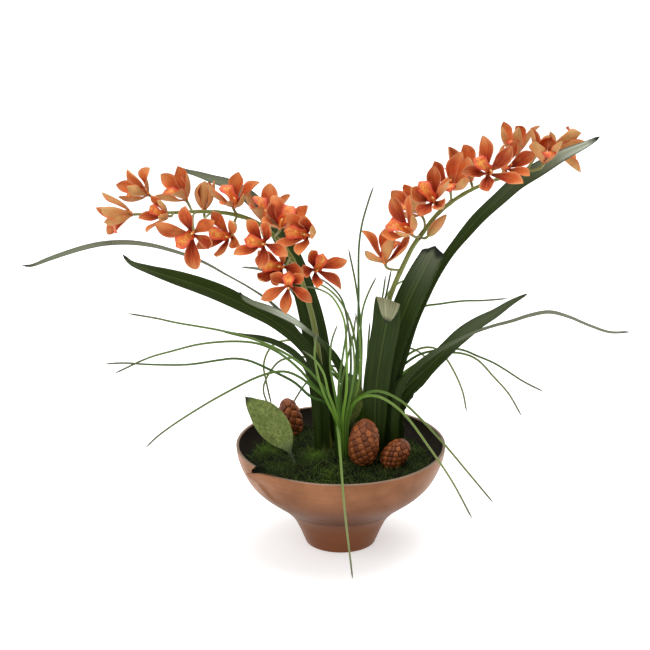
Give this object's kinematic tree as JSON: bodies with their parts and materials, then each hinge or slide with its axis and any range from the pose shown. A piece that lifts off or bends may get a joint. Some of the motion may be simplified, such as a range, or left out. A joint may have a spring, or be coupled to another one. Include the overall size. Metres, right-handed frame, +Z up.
{
  "type": "potted artificial orchid",
  "caption": "Two arching sprays of orange cymbidium orchid with strap leaves, grass, cones and moss in a footed copper bowl with a lapped rim.",
  "frame": {"origin": "centre of the flat underside of the bowl's foot", "axes": "+Z up; -Y is the front, where the view in the picture comes from; +X to the viewer's right, along the sprays' spread"},
  "size_m": [0.5855, 0.2548, 0.4302],
  "materials": {
    "copper": "satin copper-bronze outside, near-black brown lacquer inside",
    "foam": "dark dry florist's foam",
    "moss": "dyed dark green preserved moss",
    "strap_leaf": "waxed polyester leaf, dark green above and grey-green below",
    "broad_leaf": "printed polyester leaf, mottled light green",
    "grass": "bright green plastic blades, olive at the tips",
    "flower_stem": "olive plastic over wire",
    "petal": "soft printed polyester, orange-red inside and tan-olive outside",
    "bud": "soft polyester, tan-orange and olive",
    "cone": "glossy red-brown cone scales"
  },
  "bodies": {
    "root": {"pot": "copper", "potting_foam": "foam", "moss": "moss", "bud_right": "bud", "leaf_left_1": "strap_leaf", "leaf_left_2": "strap_leaf", "leaf_left_3": "strap_leaf", "leaf_left_4": "strap_leaf", "leaf_left_5": "strap_leaf", "leaf_left_6": "strap_leaf", "leaf_right_1": "strap_leaf", "leaf_right_2": "strap_leaf", "leaf_right_3": "strap_leaf", "leaf_right_4": "strap_leaf", "leaf_right_5": "strap_leaf", "broad_leaf_1": "broad_leaf", "broad_leaf_2": "broad_leaf", "grass_front": "grass", "grass_back": "grass", "flower_stem_left": "flower_stem", "flower_stem_right": "flower_stem", "bloom_left_01": "petal", "bloom_left_02": "petal", "bloom_left_03": "petal", "bloom_left_04": "petal", "bloom_left_05": "petal", "bloom_left_06": "petal", "bloom_left_07": "petal", "bloom_left_08": "petal", "bloom_left_09": "petal", "bloom_left_10": "petal", "bloom_left_11": "petal", "bloom_left_12": "petal", "bloom_left_13": "petal", "bloom_left_14": "petal", "bloom_left_15": "petal", "bloom_right_01": "petal", "bloom_right_02": "petal", "bloom_right_03": "petal", "bloom_right_04": "petal", "bloom_right_05": "petal", "bloom_right_06": "petal", "bloom_right_07": "petal", "bloom_right_08": "petal", "bloom_right_09": "petal", "bloom_right_10": "petal", "bloom_right_11": "petal", "cone_1": "cone", "cone_2": "cone", "cone_3": "cone", "cone_4": "cone"}
  },
  "joints": []
}
